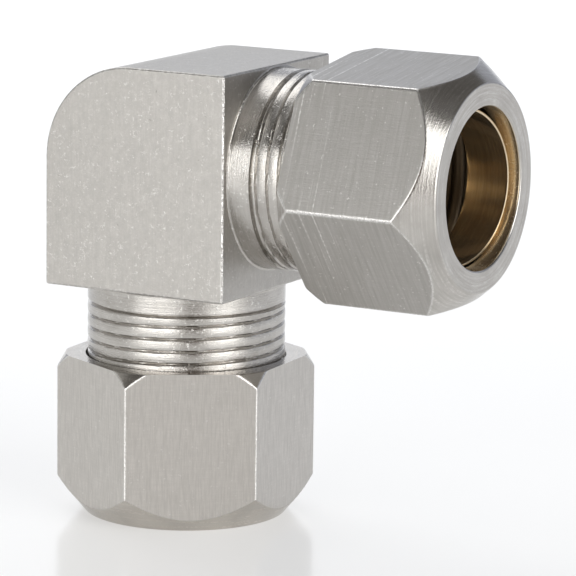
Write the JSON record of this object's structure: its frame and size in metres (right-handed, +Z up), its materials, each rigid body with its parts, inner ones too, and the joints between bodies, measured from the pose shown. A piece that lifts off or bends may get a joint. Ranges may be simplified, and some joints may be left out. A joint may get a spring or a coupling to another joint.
{
  "type": "compression elbow fitting",
  "caption": "Right-angle compression elbow: a square-bar body with threaded spigots, each with a hex nut and an olive that grips and seals a plain tube.",
  "frame": {"origin": "on the ground under the middle of the fitting's box, when it stands on its lower nut", "axes": "+X along the side spigot, outwards; +Z up, opposite to the lower spigot; the flat front of the block faces -Y"},
  "size_m": [0.0536, 0.0312, 0.0572],
  "materials": {
    "nickel_plate": "satin nickel plate on brass, with fine brush lines",
    "brass": "bare turned brass"
  },
  "bodies": {
    "elbow_body": {"elbow_body": "nickel_plate"},
    "side_olive": {"side_olive": "brass"},
    "side_nut": {"side_nut": "nickel_plate"},
    "lower_olive": {"lower_olive": "brass"},
    "lower_nut": {"lower_nut": "nickel_plate"}
  },
  "joints": [
    {"name": "side_nut_travel", "type": "slide", "parent": "elbow_body", "child": "side_olive", "axis": [1, 0, 0], "range_m": [-0.0016, 0.0076]},
    {"name": "side_nut_turn", "type": "hinge", "parent": "side_olive", "child": "side_nut", "pos_m": [0.0175, 0, 0.0428], "axis": [1, 0, 0], "range_deg": [-360, 1800]},
    {"name": "lower_nut_travel", "type": "slide", "parent": "elbow_body", "child": "lower_olive", "axis": [0, 0, -1], "range_m": [-0.0046, 0.0046]},
    {"name": "lower_nut_turn", "type": "hinge", "parent": "lower_olive", "child": "lower_nut", "pos_m": [-0.0129, 0, 0.0094], "axis": [0, 0, -1], "range_deg": [-1080, 1080]}
  ],
  "couplings": [
    {"joint": "side_nut_travel", "follows": "side_nut_turn", "m_per_rad": 0.00023873},
    {"joint": "lower_nut_travel", "follows": "lower_nut_turn", "m_per_rad": 0.00023873}
  ]
}
